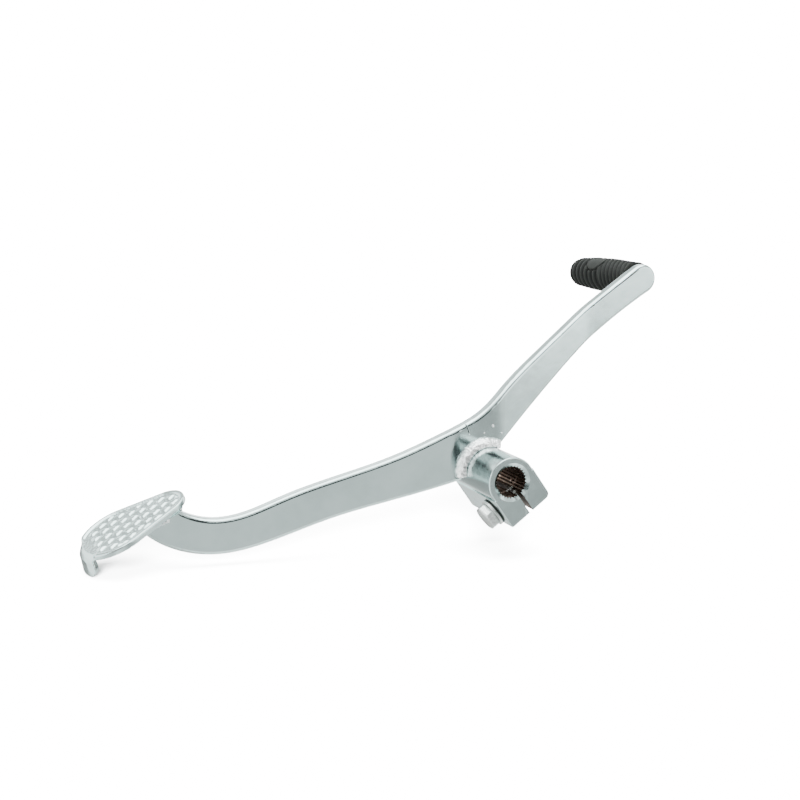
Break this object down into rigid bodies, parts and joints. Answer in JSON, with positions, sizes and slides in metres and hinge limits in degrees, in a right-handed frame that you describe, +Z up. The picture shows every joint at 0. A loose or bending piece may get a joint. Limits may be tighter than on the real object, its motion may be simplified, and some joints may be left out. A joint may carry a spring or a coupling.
{
  "type": "gear shift lever",
  "caption": "Heel-and-toe gear shift lever: a bent flat bar with a serrated clamp hub, a knurled heel pad and a ribbed rubber toe peg.",
  "frame": {"origin": "on the axis of the serrated bore, where its teeth begin on the engine side, 1.1 mm inside the hub's end face", "axes": "+X towards the toe peg (front of the machine), +Y along the bore away from the engine, +Z up, with the lever standing as it is pictured"},
  "size_m": [0.2521, 0.0902, 0.1164],
  "materials": {
    "plated_bar": "bright plating over a lightly ground bar",
    "plated_hub": "bright plating, bore left brown and bare",
    "plated_pad": "bright plating over pressed knurl",
    "weld_bead": "rough plated weld",
    "peg_steel": "turned",
    "rubber": "matt moulded",
    "zinc_bolt": "bright zinc plate",
    "zinc_washer": "zinc plate"
  },
  "bodies": {
    "lever": {"lever_arm": "plated_bar", "clamp_hub": "plated_hub", "hub_weld": "weld_bead", "heel_pad": "plated_pad", "pad_weld": "weld_bead", "toe_peg": "peg_steel", "toe_rubber": "rubber"},
    "washer": {"lock_washer": "zinc_washer"},
    "bolt": {"pinch_bolt": "zinc_bolt"}
  },
  "joints": [
    {"name": "bolt_travel", "type": "slide", "parent": "lever", "child": "washer", "axis": [-0.8171, 0, -0.5764], "range_m": [0, 0.007]},
    {"name": "bolt_turn", "type": "hinge", "parent": "washer", "child": "bolt", "pos_m": [0.00548, 0.0083, -0.00776], "axis": [-0.8171, 0, -0.5764], "range_deg": [0, 2520]}
  ],
  "couplings": [
    {"joint": "bolt_turn", "follows": "bolt_travel", "rad_per_m": 6283.2}
  ]
}
